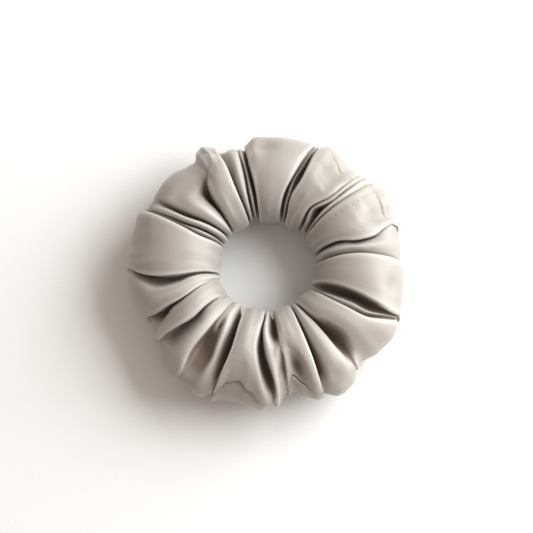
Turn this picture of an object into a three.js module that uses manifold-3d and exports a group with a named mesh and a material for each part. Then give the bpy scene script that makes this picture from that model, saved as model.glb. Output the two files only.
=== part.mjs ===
// A satin scrunchie: a sewn tube of satin, gathered onto a ring of flat elastic.
// Millimetres, +Z up. The origin is the middle of the hair opening, on the surface that it lies on.
//
// The cover is one strip of cloth. Its two long edges meet at the outer rim, where they turn inwards as
// seam allowances, and its one end slides inside the other. Each seam is a lockstitch, which has two
// threads: the needle thread on one face of the cloth and the bobbin thread on the other.

import * as THREE from "three";
import { mergeVertices } from "three/addons/utils/BufferGeometryUtils.js";
import Module from "manifold-3d";

const wasm = await Module();
wasm.setup();

// ---- Driving dimensions ----

const HOLE_RADIUS = 18; // hair opening, to the crown of a pleat
const TUBE_WIDTH = 37; // from the hair opening to the outer rim
const TUBE_HEIGHT = 30;
const FOOT_SINK = 3.3; // how much of the round tube is pressed flat where it lies
const CLOTH = 0.4;
const LAYER_GAP = 0.35; // between two layers of cloth that lie together

const PLEATS = 20;
const PLEAT_DEPTH = 4; // crown to tuck
const INNER_SHARE = 0.35; // of the pleat depth, at the elastic, where the cloth is tightest
const LEAN = THREE.MathUtils.degToRad(3); // the pleats slant across the tube

const SEAM_GAP = 0.3; // between the two long edges of the cover
const SEAM_ALLOWANCE = 6;
const SEAM_LINE = 2; // from the outer rim to the row of stitches

const CLOSING_TURN = THREE.MathUtils.degToRad(45); // the stitches that close the cover's ends

const ELASTIC_STANDOFF = 6.45; // from the cover's innermost layer: room for the gathered cloth
const ELASTIC_WIDTH = 6;
const ELASTIC_THICKNESS = 1;
const ELASTIC_LAP = THREE.MathUtils.degToRad(36); // where its two ends are stitched together
const LAP_STITCH = 1.6; // half of a stitch
const LAP_STITCHES = 3; // on each side of the lap's middle

const THREAD_RADIUS = 0.2;
const THREAD_CLEARANCE = 0.12; // to the cloth
const NEEDLE_HOLE_RADIUS = 0.8;
const THREAD_SIDES = 4;
const HOLE_SIDES = 6;

// ---- Sizes that follow ----

const HALF_WIDTH = TUBE_WIDTH / 2;
const HALF_HEIGHT = (TUBE_HEIGHT + FOOT_SINK) / 2;
const TUBE_RADIUS = HOLE_RADIUS + HALF_WIDTH; // of the tube's middle line
const MID_Z = TUBE_HEIGHT - HALF_HEIGHT; // the level of the seam and of the elastic

const RINGS_PER_PLEAT = 4; // crown, slope, tuck and slope
const RING_STEP = (2 * Math.PI) / (PLEATS * RINGS_PER_PLEAT);
const LAP_RINGS = 3; // how far the cover's ends overlap
const LAP_DEPTH = CLOTH + LAYER_GAP; // how far inside the other the tucked end lies
const FIRST_TURN = CLOSING_TURN - RING_STEP; // the folded end, one ring before the stitches
const AROUND = 16; // facets around the tube
const ELASTIC_RADIUS =
  HOLE_RADIUS + PLEAT_DEPTH * INNER_SHARE + LAP_DEPTH + CLOTH + ELASTIC_STANDOFF; // its inner face

// ---- Solids ----

const closed = (geometry) => {
  const bare = new THREE.BufferGeometry()
    .setAttribute("position", geometry.getAttribute("position"))
    .setIndex(geometry.index);
  const merged = mergeVertices(bare, 1e-4);
  return new wasm.Manifold(
    new wasm.Mesh({
      numProp: 3,
      vertProperties: merged.attributes.position.array,
      triVerts: new Uint32Array(merged.index.array),
    }),
  );
};

const geometryOf = (solid) => {
  const { vertProperties, triVerts } = solid.getMesh();
  return new THREE.BufferGeometry()
    .setAttribute("position", new THREE.BufferAttribute(vertProperties, 3))
    .setIndex(new THREE.BufferAttribute(triVerts, 1));
};

// A closed body through a row of rings of points. The first half of a ring lies along one face of a
// ribbon and the second half comes back along the other, so that its ends close as a strip.
function loft(rings) {
  const size = rings[0].length;
  const last = (rings.length - 1) * size;
  const faces = [];
  for (let i = 0; i < rings.length - 1; i++)
    for (let j = 0; j < size; j++) {
      const a = i * size + j;
      const b = i * size + ((j + 1) % size);
      faces.push(a, a + size, b + size, a, b + size, b);
    }
  for (let a = 0; a < size / 2 - 1; a++) {
    const [b, c, d] = [a + 1, size - 2 - a, size - 1 - a];
    faces.push(a, b, c, a, c, d);
    faces.push(last + c, last + b, last + a, last + d, last + c, last + a);
  }
  const positions = rings.flat().flatMap((point) => point.toArray());
  return new THREE.BufferGeometry()
    .setAttribute("position", new THREE.Float32BufferAttribute(positions, 3))
    .setIndex(faces);
}

const around = (radius, turn, z) =>
  new THREE.Vector3(radius * Math.cos(turn), radius * Math.sin(turn), z);

// ---- The cover ----

// 0 on the crown of a pleat, 1 at the bottom of a tuck.
const tuck = (turn) => (1 - Math.cos(PLEATS * turn)) / 2;

// How far a pleat dips below its crown, at the angle `theta` around the tube: 0 is the outer rim.
const dip = (turn, theta) =>
  PLEAT_DEPTH *
  tuck(turn) *
  THREE.MathUtils.lerp(INNER_SHARE, 1, Math.min(1, 1 + Math.cos(theta)));

// A point of the cover, `depth` below its outer face.
function clothPoint(turn, theta, depth) {
  const less = dip(turn, theta) + depth;
  const radius = TUBE_RADIUS + (HALF_WIDTH - less) * Math.cos(theta);
  const z = MID_Z + (HALF_HEIGHT - less) * Math.sin(theta);
  return around(radius, turn + LEAN * (Math.cos(theta) - 1), Math.max(z, depth));
}

const rimRadius = (turn, depth) => TUBE_RADIUS + HALF_WIDTH - dip(turn, 0) - depth;

// One face of the cover at one place along it: up from the edge of the upper allowance to the rim,
// around the tube, and back to the edge of the lower allowance.
function clothFace(turn, depth) {
  const height = SEAM_GAP / 2 + depth;
  const rim = rimRadius(turn, depth);
  const edge = rimRadius(turn, 0) - SEAM_ALLOWANCE;
  const points = [around(edge, turn, MID_Z + height), around(rim, turn, MID_Z + height)];
  for (let i = 1; i < AROUND; i++) points.push(clothPoint(turn, (2 * Math.PI * i) / AROUND, depth));
  points.push(around(rim, turn, MID_Z - height), around(edge, turn, MID_Z - height));
  return points;
}

// The strip runs once round and past its own start. Its last rings dive inside the first ones.
function coverBody() {
  const whole = Math.round((2 * Math.PI) / RING_STEP);
  const rings = [];
  for (let i = 0; i <= whole + LAP_RINGS; i++) {
    const turn = FIRST_TURN + i * RING_STEP;
    const depth = LAP_DEPTH * THREE.MathUtils.clamp((i - whole + 2) / 2, 0, 1);
    rings.push([...clothFace(turn, depth), ...clothFace(turn, depth + CLOTH).reverse()]);
  }
  return loft(rings);
}

// ---- The elastic ----

// The end that lies outside the other rises over it before the lap.
function elasticBody() {
  const step = ELASTIC_LAP / 4;
  const whole = Math.round((2 * Math.PI) / step);
  const start = CLOSING_TURN - ELASTIC_LAP / 2;
  const rings = [];
  const low = MID_Z - ELASTIC_WIDTH / 2;
  const high = MID_Z + ELASTIC_WIDTH / 2;
  for (let i = 0; i <= whole + 4; i++) {
    const rise = THREE.MathUtils.clamp((i - whole + 2) / 2, 0, 1);
    const inner = ELASTIC_RADIUS + rise * (ELASTIC_THICKNESS + LAYER_GAP);
    const outer = inner + ELASTIC_THICKNESS;
    const turn = start + i * step;
    rings.push([
      around(inner, turn, low),
      around(outer, turn, low),
      around(outer, turn, high),
      around(inner, turn, high),
    ]);
  }
  return loft(rings);
}

// ---- The stitches ----

// A seam is a row of stations in the middle of the layers that it joins. `up` points to the needle
// thread's side, `across` lies across the row, and a station with `hole` is where the needle went in.

function longSeam() {
  const stations = [];
  const whole = Math.round((2 * Math.PI) / RING_STEP);
  for (let i = LAP_RINGS + 1; i < whole - 2; i++) {
    const turn = FIRST_TURN + i * RING_STEP;
    stations.push({
      at: around(rimRadius(turn, 0) - SEAM_LINE, turn, MID_Z),
      up: new THREE.Vector3(0, 0, 1),
      across: around(1, turn, 0),
      hole: i % 2 === 0,
    });
  }
  return stations;
}

function closingSeam() {
  const middle = (2 * CLOTH + LAYER_GAP) / 2;
  const face = (depth) => clothFace(CLOSING_TURN, depth).slice(2, -2);
  const [on, over] = [face(middle), face(0)];
  const stations = [];
  for (let i = 0; i < on.length; i++) {
    const across = around(1, CLOSING_TURN + Math.PI / 2, 0);
    stations.push({ at: on[i], up: over[i].clone().sub(on[i]).normalize(), across, hole: false });
    if (i === on.length - 1) break;
    const at = on[i].clone().lerp(on[i + 1], 0.5);
    const up = over[i].clone().lerp(over[i + 1], 0.5).sub(at).normalize();
    stations.push({ at, up, across, hole: true });
  }
  return stations;
}

function elasticSeam() {
  const middle = ELASTIC_RADIUS + ELASTIC_THICKNESS + LAYER_GAP / 2;
  const stations = [];
  for (let i = -LAP_STITCHES; i <= LAP_STITCHES; i++) {
    const turn = CLOSING_TURN + (i * LAP_STITCH) / middle;
    stations.push({
      at: around(middle, turn, MID_Z),
      up: around(1, turn, 0),
      across: new THREE.Vector3(0, 0, 1),
      hole: i % 2 !== 0,
    });
  }
  return stations;
}

// The needle's holes through a stack of layers.
function needleHoles(stations, stack) {
  const length = stack + 4 * THREAD_RADIUS;
  return stations
    .filter((station) => station.hole)
    .map(({ at, up }) => {
      const pin = new THREE.CylinderGeometry(
        NEEDLE_HOLE_RADIUS,
        NEEDLE_HOLE_RADIUS,
        length,
        HOLE_SIDES,
      );
      const turned = new THREE.Quaternion().setFromUnitVectors(new THREE.Vector3(0, 1, 0), up);
      return closed(pin.applyQuaternion(turned).translate(at.x, at.y, at.z));
    });
}

// A path that goes straight from point to point, sampled at its points.
class ThreadPath extends THREE.Curve {
  constructor(points) {
    super();
    this.points = points;
  }
  getPoint(t) {
    const along = t * (this.points.length - 1);
    const i = Math.min(Math.floor(along), this.points.length - 2);
    return this.points[i].clone().lerp(this.points[i + 1], along - i);
  }
  getPointAt(u) {
    return this.getPoint(u);
  }
  getTangent(t) {
    const i = Math.round(t * (this.points.length - 1));
    const here = this.points[i];
    const before = this.points[Math.max(i - 1, 0)];
    const after = this.points[Math.min(i + 1, this.points.length - 1)];
    const back = here.clone().sub(before).normalize();
    return after.clone().sub(here).normalize().add(back).normalize();
  }
  getTangentAt(u) {
    return this.getTangent(u);
  }
}

// One thread of a lockstitch. `face` is 1 for the needle thread and -1 for the bobbin thread. In each
// hole the two threads turn back beside each other, past the middle of the layers.
function thread(stations, face, stack) {
  const lift = face * (stack / 2 + THREAD_CLEARANCE + THREAD_RADIUS);
  const past = -face * 0.12;
  const aside = face * 1.6 * THREAD_RADIUS;
  const shoulder = 0.45;
  const turnBack = 0.14;
  const points = [];
  stations.forEach(({ at, up, across, hole }, i) => {
    const onFace = at.clone().addScaledVector(up, lift);
    if (!hole) {
      points.push(onFace);
      return;
    }
    const towards = (other) =>
      other ? other.at.clone().sub(at).normalize() : new THREE.Vector3().crossVectors(up, across);
    const back = towards(stations[i - 1] ?? null);
    const ahead = towards(stations[i + 1] ?? null);
    if (!stations[i - 1]) back.copy(ahead).negate();
    if (!stations[i + 1]) ahead.copy(back).negate();
    const inHole = at.clone().addScaledVector(up, past).addScaledVector(across, aside);
    points.push(onFace.clone().addScaledVector(back, shoulder));
    points.push(inHole.clone().addScaledVector(back, turnBack));
    points.push(inHole.clone().addScaledVector(ahead, turnBack));
    points.push(onFace.clone().addScaledVector(ahead, shoulder));
  });
  const corners = Array.from({ length: THREAD_SIDES }, (_, k) => {
    const angle = (2 * Math.PI * k) / THREAD_SIDES;
    return new THREE.Vector2(Math.cos(angle), Math.sin(angle)).multiplyScalar(THREAD_RADIUS);
  });
  return new THREE.ExtrudeGeometry(new THREE.Shape(corners), {
    steps: points.length - 1,
    extrudePath: new ThreadPath(points),
    bevelEnabled: false,
  });
}

// ---- Materials ----

const satin = new THREE.MeshStandardMaterial({ color: 0xcfc4bb, roughness: 0.42, metalness: 0 });
const elasticWeave = new THREE.MeshStandardMaterial({ color: 0xe9e4de, roughness: 0.85, metalness: 0 });
const sewingThread = new THREE.MeshStandardMaterial({ color: 0xc4b8ae, roughness: 0.6, metalness: 0 });

// ---- The scrunchie ----

const seams = {
  long_seam: { stations: longSeam(), stack: SEAM_GAP + 2 * CLOTH },
  closing_seam: { stations: closingSeam(), stack: 2 * CLOTH + LAYER_GAP },
  elastic_join: { stations: elasticSeam(), stack: 2 * ELASTIC_THICKNESS + LAYER_GAP },
};

const pierced = (body, ...names) =>
  geometryOf(
    closed(body).subtract(
      wasm.Manifold.union(
        names.flatMap((name) => needleHoles(seams[name].stations, seams[name].stack)),
      ),
    ),
  );

const scrunchie = new THREE.Group();
const add = (name, geometry, material) => {
  const mesh = new THREE.Mesh(geometry, material);
  mesh.name = name;
  scrunchie.add(mesh);
};

add("satin_cover", pierced(coverBody(), "long_seam", "closing_seam"), satin);
add("elastic_band", pierced(elasticBody(), "elastic_join"), elasticWeave);
for (const [name, { stations, stack }] of Object.entries(seams)) {
  add(`${name}_needle_thread`, thread(stations, 1, stack), sewingThread);
  add(`${name}_bobbin_thread`, thread(stations, -1, stack), sewingThread);
}

export default scrunchie;
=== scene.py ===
# %% [markdown]
# # A satin scrunchie
#
# A scrunchie is a strip of satin, sewn into a tube round a ring of flat elastic. The strip is much
# longer than the elastic, so the elastic gathers it: the cloth is pushed into tucks that are tight
# at the hair opening and open out towards the rim.
#
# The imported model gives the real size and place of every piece. This script dresses it: a gathered
# cloth cover in place of the plain one, finer stitches, a braided elastic, and a finish for each.

import bpy
import numpy as np
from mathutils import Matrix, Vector


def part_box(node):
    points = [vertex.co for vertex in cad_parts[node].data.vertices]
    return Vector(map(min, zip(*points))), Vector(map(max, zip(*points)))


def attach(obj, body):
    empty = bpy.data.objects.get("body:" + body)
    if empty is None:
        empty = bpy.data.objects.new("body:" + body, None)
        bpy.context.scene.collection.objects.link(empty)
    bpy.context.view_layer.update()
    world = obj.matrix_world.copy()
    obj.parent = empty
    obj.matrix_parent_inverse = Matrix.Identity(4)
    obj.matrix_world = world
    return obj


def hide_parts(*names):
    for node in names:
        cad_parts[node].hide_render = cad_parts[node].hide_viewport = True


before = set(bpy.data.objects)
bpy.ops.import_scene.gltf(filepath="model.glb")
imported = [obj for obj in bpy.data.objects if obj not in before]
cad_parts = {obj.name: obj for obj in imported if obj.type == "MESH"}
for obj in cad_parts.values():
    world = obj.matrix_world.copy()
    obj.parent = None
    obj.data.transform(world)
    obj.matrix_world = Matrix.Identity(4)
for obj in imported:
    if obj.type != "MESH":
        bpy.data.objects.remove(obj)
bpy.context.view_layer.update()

MM = 0.001
TURN = 2 * np.pi

# %% [markdown]
# ## The camera
#
# The scrunchie lies flat and is seen from nearly overhead, with a long lens, so its far side is
# almost as large as its near side. A little of the inside of the opening shows at the far side.

# %% Camera
CAMERA_ELEVATION = np.radians(78)
CAMERA_DISTANCE = 1.1
VIEW_WIDTH = 0.2065
AIM = Vector((0.0004, -0.0005, 0.0165))

camera_data = bpy.data.cameras.new("camera")
camera_data.sensor_width = 36
camera_data.lens = camera_data.sensor_width * CAMERA_DISTANCE / VIEW_WIDTH
camera = bpy.data.objects.new("camera", camera_data)
bpy.context.collection.objects.link(camera)
away = Vector((0, -np.cos(CAMERA_ELEVATION), np.sin(CAMERA_ELEVATION)))
camera.location = AIM + CAMERA_DISTANCE * away
camera.rotation_euler = away.to_track_quat("Z", "Y").to_euler()
bpy.context.scene.camera = camera
print("lens, mm:", round(camera_data.lens))

# %% [markdown]
# ## Light and floor
#
# Satin is all about the light: its long floating threads give each fold a broad soft highlight. One
# large soft lamp stands low at the right and a little behind, and an even room fills the rest, so the
# shadows are long, soft and warm, and fall to the left. A small lamp would draw hard edges in the
# folds, and the room alone would flatten them.

# %% Lamps and room
scene = bpy.context.scene
scene.view_settings.view_transform = "Standard"


def soft_lamp(name, azimuth, elevation, distance, size, power, colour=(1, 1, 1)):
    """A square lamp that faces the scrunchie from a compass direction (0 is +X) and a height."""
    lamp_data = bpy.data.lights.new(name, "AREA")
    lamp_data.shape = "SQUARE"
    lamp_data.size = size
    lamp_data.energy = power
    lamp_data.color = colour
    lamp = bpy.data.objects.new(name, lamp_data)
    bpy.context.collection.objects.link(lamp)
    a, e = np.radians(azimuth), np.radians(elevation)
    towards = Vector((np.cos(a) * np.cos(e), np.sin(a) * np.cos(e), np.sin(e)))
    lamp.location = towards * distance
    lamp.rotation_euler = towards.to_track_quat("Z", "Y").to_euler()
    return lamp


window = soft_lamp("window", azimuth=23, elevation=30, distance=1.0, size=1.1, power=25,
                   colour=(0.95, 1, 1))

ROOM_COLOUR = (1, 0.85, 0.75, 1)
ROOM_STRENGTH = 0.5

world = bpy.data.worlds.new("room")
scene.world = world
world.use_nodes = True
room = world.node_tree.nodes["Background"]
room.inputs["Color"].default_value = ROOM_COLOUR
room.inputs["Strength"].default_value = ROOM_STRENGTH
print("lamp at, m:", [round(x, 2) for x in window.location])

# %% [markdown]
# ## Shader maths
#
# A finish is easier to read as a sum than as a web of wires. `Value` wraps a node's output, so that
# `+`, `*` and `-` make Math nodes. `Finish` makes a Principled material and its other nodes.


# %% Values
class Value:
    """A number that a node puts out, to reckon with as in Python."""

    def __init__(self, finish, socket):
        self.finish = finish
        self.socket = socket

    def _math(self, operation, *others, flip=False):
        values = [self, *others]
        if flip:
            values.reverse()
        settings = {"operation": operation}
        return self.finish.node("ShaderNodeMath", settings, dict(enumerate(values)))

    def __add__(self, other):
        return self._math("ADD", other)

    def __radd__(self, other):
        return self._math("ADD", other, flip=True)

    def __sub__(self, other):
        return self._math("SUBTRACT", other)

    def __rsub__(self, other):
        return self._math("SUBTRACT", other, flip=True)

    def __mul__(self, other):
        return self._math("MULTIPLY", other)

    def __rmul__(self, other):
        return self._math("MULTIPLY", other, flip=True)

    def sine(self):
        return self._math("SINE")

    def smooth(self, low, high):
        """0 below low, 1 above high, and an even curve between."""
        settings = {"interpolation_type": "SMOOTHSTEP"}
        sockets = {"Value": self, "From Min": low, "From Max": high}
        return self.finish.node("ShaderNodeMapRange", settings, sockets, "Result")


# %% Finishes
class Finish:
    """A material with one Principled shader, and one method that adds any other node."""

    def __init__(self, name, **plain):
        self.material = bpy.data.materials.new(name)
        self.material.use_nodes = True
        self.tree = self.material.node_tree
        self.shader = self.tree.nodes["Principled BSDF"]
        for word, value in plain.items():
            socket = word.replace("_", " ").title().replace("Ior", "IOR")
            self.shader.inputs[socket].default_value = value

    def node(self, kind, settings, sockets, output=0):
        made = self.tree.nodes.new(kind)
        for name, value in settings.items():
            setattr(made, name, value)
        for key, value in sockets.items():
            self.put(made.inputs[key], value)
        return Value(self, made.outputs[output])

    def put(self, socket, value):
        if isinstance(value, Value):
            self.tree.links.new(value.socket, socket)
        else:
            socket.default_value = value

    def drive(self, socket, value):
        self.put(self.shader.inputs[socket], value)

    def mix(self, share, first, second):
        """The colour first where share is 0, and second where it is 1. A Mix node has sockets for
        numbers, vectors and colours: 6, 7 and output 2 are the colours."""
        settings = {"data_type": "RGBA"}
        return self.node("ShaderNodeMix", settings, {0: share, 6: first, 7: second}, 2)

    def noise(self, vector, scale, detail=2.0, roughness=0.5):
        sockets = {"Vector": vector, "Scale": scale, "Detail": detail, "Roughness": roughness}
        return self.node("ShaderNodeTexNoise", {}, sockets, "Fac")

    def scaled(self, vector, factors):
        return self.node("ShaderNodeVectorMath", {"operation": "MULTIPLY"}, {0: vector, 1: factors})

    def split(self, vector):
        made = self.tree.nodes.new("ShaderNodeSeparateXYZ")
        self.put(made.inputs[0], vector)
        return [Value(self, socket) for socket in made.outputs]

    def bump(self, height, distance, strength=1.0):
        sockets = {"Height": height, "Distance": distance, "Strength": strength}
        self.drive("Normal", self.node("ShaderNodeBump", {}, sockets))

    def attribute(self, name):
        return self.node("ShaderNodeAttribute", {"attribute_name": name}, {}, "Fac")

    def uv(self, name):
        return self.node("ShaderNodeUVMap", {"uv_map": name}, {}, "UV")

    def place(self):
        return self.node("ShaderNodeTexCoord", {}, {}, "Object")


# %% [markdown]
# ## The floor
#
# The scrunchie lies on a sheet of matt white paper. It is far larger than the view, so that no edge
# of it shows, and its grain is a bump too fine to see except where the light grazes it.

# %% Floor
FLOOR_SIZE = 6.0
PAPER_GRAIN = 900

floor_finish = Finish("paper", base_color=(0.86, 0.86, 0.86, 1), roughness=0.9)
floor_finish.bump(floor_finish.noise(floor_finish.place(), PAPER_GRAIN, 3), 0.04 * MM)

bpy.ops.mesh.primitive_plane_add(size=FLOOR_SIZE)
floor = bpy.context.object
floor.name = "floor"
floor.data.materials.append(floor_finish.material)
print("floor, m:", tuple(round(x, 2) for x in floor.dimensions)[:2])

# %% [markdown]
# ## Where the folds run
#
# Gathered satin lies in lobes: bands of cloth that cross the tube from the rim to the waist, each
# ending at an edge that laps a little over the valley beside it. A wave with some noise would give
# folds that are all of one kind, and cloth dropped by simulation puts them anywhere. No two of these
# are alike and each has its place, so they are listed one by one, anticlockwise from above. A lobe's
# left and right edges are compass angles at seven places on the way over the tube, a twelfth of a
# turn apart, from the rim over the crown to the waist.

# %% The lobes
PLACES = np.radians([0, 30, 60, 90, 120, 150, 180])

# Each lobe: left edge, right edge, depth of the valley after it (mm), depth of the lobe itself (mm),
# then how crisp its left and right edges are, how much it bulges (mm), and where the valley's bottom
# lies: 0 is under this lobe's edge, 1 is under the next one's.
LOBES = [
    ((2, 3, 4, 5.4, 5.6, 5, 3), (15.5, 13.8, 11.2, 10.3, 13, 13, 12),
     (0.5, 1.5, 3, 5.5, 6, 5, 4), (0.5, 0.8, 1.2, 1.4, 1.4, 1, 1), 0.3, 0.4, 0.3, 0.9),
    ((17, 15, 12.4, 12.2, 15.4, 15.4, 14), (37, 37, 37.2, 37.6, 37.6, 36.4, 35),
     (0.4, 0.9, 1.4, 1.8, 2.4, 3, 4), (0, 0, 0, 0, 0, 0, 0), 0.8, 0.9, 0.9, 0.2),
    ((38.6, 38.5, 38.6, 39, 39.2, 38, 36.4), (40.2, 40, 40, 40.2, 40.6, 39.2, 37.6),
     (0.4, 0.8, 1.2, 1.4, 6, 6.5, 4), (0.2, 0.3, 0.3, 0.4, 0.8, 1.2, 2), 0.8, 0.8, 0.1, 0.5),
    ((42, 41.8, 41.6, 42, 47, 43.5, 42), (43, 43, 43, 44, 48.4, 46.8, 46),
     (0.2, 0.5, 0.6, 0.8, 2.5, 5.5, 5), (0, 0.2, 0.2, 0.2, 0.3, 0.8, 1), 0.5, 0.3, 0.1, 0.6),
    ((44.6, 44.6, 44.6, 46.4, 50.6, 50, 49), (64.8, 66.2, 66.4, 66.8, 69, 67, 66),
     (1, 4, 6.5, 6.5, 5, 5, 4.5), (0, 0, 0, 0, 0, 0, 0), 0.5, 0.8, 0.9, 0.35),
    ((66.6, 67.8, 68.8, 70.6, 70.2, 69, 67.6), (67, 68.2, 69.4, 71.2, 71.8, 71, 69),
     (0.8, 1.6, 3, 4, 5, 6, 5), (0.6, 2, 3.6, 3.8, 1.5, 0.8, 1), 0.2, 0.3, 0.1, 0.7),
    ((68.2, 69.4, 70.8, 72.8, 75.2, 75, 72), (100, 100, 100, 99, 98, 97.8, 97.4),
     (1.5, 3, 5, 6, 6.5, 6, 5), (0, 0, 0, 0, 0, 0, 0), 0.5, 0.7, 0.8, 0.25),
    ((101.6, 101.6, 101.4, 101.2, 100.9, 100.5, 100), (103, 103, 102.8, 102.8, 103, 102.6, 102),
     (1, 2, 4, 5, 5.5, 5, 5), (1.2, 1.6, 2.2, 2.2, 1.6, 1.2, 1), 0.3, 0.5, 0.1, 0.6),
    ((104, 104, 104, 104.2, 105, 105, 104), (109.6, 109.6, 109.8, 110.4, 110.2, 109.2, 108),
     (1, 2, 3, 3.6, 3.8, 4.2, 4.5), (0.8, 1, 1.3, 1.4, 1.3, 1.2, 1.2), 0.4, 0.2, 0.3, 1.0),
    ((113, 112.5, 112.2, 112.2, 111.8, 110.8, 110), (118, 121, 126, 129, 129.7, 131.2, 131.4),
     (0, 0.5, 2.6, 6.5, 8, 7, 5), (0, 0, 0, 0, 0, 0, 0), 0.9, 0.35, 0.6, 0.3),
    ((134, 134, 134.4, 134.8, 134, 133.2, 132.8), (147.5, 148.4, 148.6, 147.6, 145, 142.6, 141),
     (0.6, 1.8, 3.6, 4.6, 4.8, 4.4, 4), (0, 0.2, 0.8, 0.6, 0.4, 0.4, 1), 0.1, 0.5, 0.5, 0.5),
    ((152, 152, 151.8, 150.8, 147.6, 144.8, 143.4), (154.6, 154.8, 154.8, 154.2, 152.2, 150.4, 149.8),
     (0.6, 1.4, 2.8, 4, 4.6, 4.6, 4), (0.4, 0.8, 1, 1, 0.6, 0.4, 0.4), 0.3, 0.4, 0.3, 0.5),
    ((155.6, 155.6, 155.8, 156, 154.4, 152.8, 152), (156, 156, 156.4, 157, 157.2, 155, 154.4),
     (0.8, 2, 3.6, 4.6, 3.6, 2.4, 2), (0.5, 1, 1.8, 1.8, 0.8, 0.8, 0.8), 0.3, 0.3, 0.1, 0.8),
    ((156.6, 156.8, 157.4, 158.3, 159.4, 157.4, 156.6), (180.8, 185, 188.8, 190.5, 190.5, 190.4, 190),
     (1.5, 4, 6, 6, 3.6, 2.4, 3), (0, 0, 0, 0, 0, 0, 0), 0.9, 0.95, 0.9, 0.3),
    ((183.8, 188.6, 195, 196, 193.6, 192.6, 192), (204, 206, 206, 206, 203.2, 200, 199),
     (0.8, 6.2, 6.2, 2.6, 0.8, 0.2, 0.2), (0.2, 0.2, 0.4, 0.4, 0.2, 0, 0), 0.6, 0.95, 0.7, 0.2),
    ((210.6, 211, 208.6, 207.4, 204.2, 202, 201), (217, 216.8, 218.2, 219.8, 219, 219.4, 219.6),
     (0.2, 3.6, 5.4, 5.2, 2.8, 0.2, 0.2), (0.4, 0.4, 0.4, 0.3, 0, 0, 0), 0.4, 0.95, 0.6, 0.2),
    ((222.6, 224, 224, 223.4, 220.8, 220.6, 220.6), (232.8, 232.4, 231.4, 231.7, 231.8, 231, 231),
     (0.4, 2.8, 5, 4.8, 0.8, 0.4, 0.4), (0, 0, 0.2, 0.2, 0, 0, 0), 0.2, 0.95, 0.5, 0.25),
    ((239, 239.4, 240, 238.4, 236, 235, 235), (246.8, 246, 245, 243.8, 242.6, 241.4, 240.6),
     (0.5, 4.8, 6.4, 6.8, 6, 4.5, 3), (0.2, 2, 3.2, 2.4, 0, 0, 0), 0.0, 0.5, 0.2, 0.7),
    ((249, 248.8, 249.4, 249.2, 247.6, 245.6, 245), (270.6, 268.8, 265.2, 263.5, 265.4, 268.8, 270),
     (0.5, 4.2, 6, 6.4, 4.6, 3.6, 2.4), (0, 0, 0, 0, 0, 0, 0), 0.9, 0.6, 0.8, 0.6),
    ((274.4, 274.4, 272.4, 269.6, 267.8, 269.8, 270.8),
     (276.4, 276.6, 276.2, 274.4, 272.8, 273.8, 274.6),
     (0.6, 1.2, 1.0, 0.6, 4.2, 4.6, 3), (0, 0.2, 0.2, 0, 0, 0.2, 0.4), 0.8, 0.1, 0.2, 0.8),
    ((280.6, 280.6, 280.6, 279.6, 279.8, 280, 279.8), (293.2, 294, 295, 295.9, 297.3, 299.2, 299.8),
     (0.4, 4.4, 6, 6.4, 5.8, 4.4, 3), (0, 0, 0, 0, 0, 0, 0), 0.3, 0.95, 0.4, 0.35),
    ((296.8, 298.4, 299.2, 299.3, 300, 301.2, 301.6), (309, 308.4, 307.9, 307.8, 307.4, 307, 306.8),
     (0.3, 3.4, 6, 6.4, 5.4, 3.6, 2.4), (0, 0, 0.4, 0.8, 0.8, 0.6, 0.6), 0.6, 0.5, 0.7, 0.4),
    ((312, 315, 317, 315.2, 310.4, 308.6, 308.6), (336.2, 333.6, 330, 329, 328.4, 329, 329),
     (1.5, 2.6, 3.8, 3.8, 3.4, 3.4, 3.4), (0, 0, 0, 0, 0, 0, 0), 0.55, 0.9, 0.8, 0.4),
    ((337, 334.6, 331.4, 330.6, 329.6, 330.2, 330.4), (337.4, 335.4, 333.6, 334, 333.2, 332.6, 332.2),
     (1.2, 2.6, 6, 7.6, 7.4, 6, 4.5), (1, 1.8, 2.6, 3, 2.6, 1.8, 1.8), 0.2, 0.2, 0.1, 0.8),
    ((338.2, 336.9, 338, 339.4, 340.2, 339.6, 337.6), (360.2, 361.3, 362.3, 363.4, 363.4, 361.4, 359.6),
     (0.8, 1.6, 2.4, 3.2, 5, 5, 4), (0, 0, 0, 0, 0, 0, 0), 0.9, 0.9, 0.9, 0.15),
]

# %% Hollows, rim and waist
# Hollows that don't run right across: compass angle and angle round the tube (degrees), depth (mm),
# and their reach along and across the ring (mm).
HOLLOWS = [
    (24, 58, 2.0, 6.5, 6), (55, 66, 1.8, 6, 6), (91, 50, 1.6, 5, 4.5), (349, 42, 1.8, 5, 4.5),
    (286.4, 58, 4.4, 2.2, 6.5), (236.6, 113, 3.0, 0.7, 1.7), (278, 62, 0.8, 2.5, 4),
    (113, 44, 1.5, 2.0, 3.0), (141, 60, 0.7, 4, 4), (301, 45, 0.8, 3, 4), (214, 60, 0.8, 3, 6),
]

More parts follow.
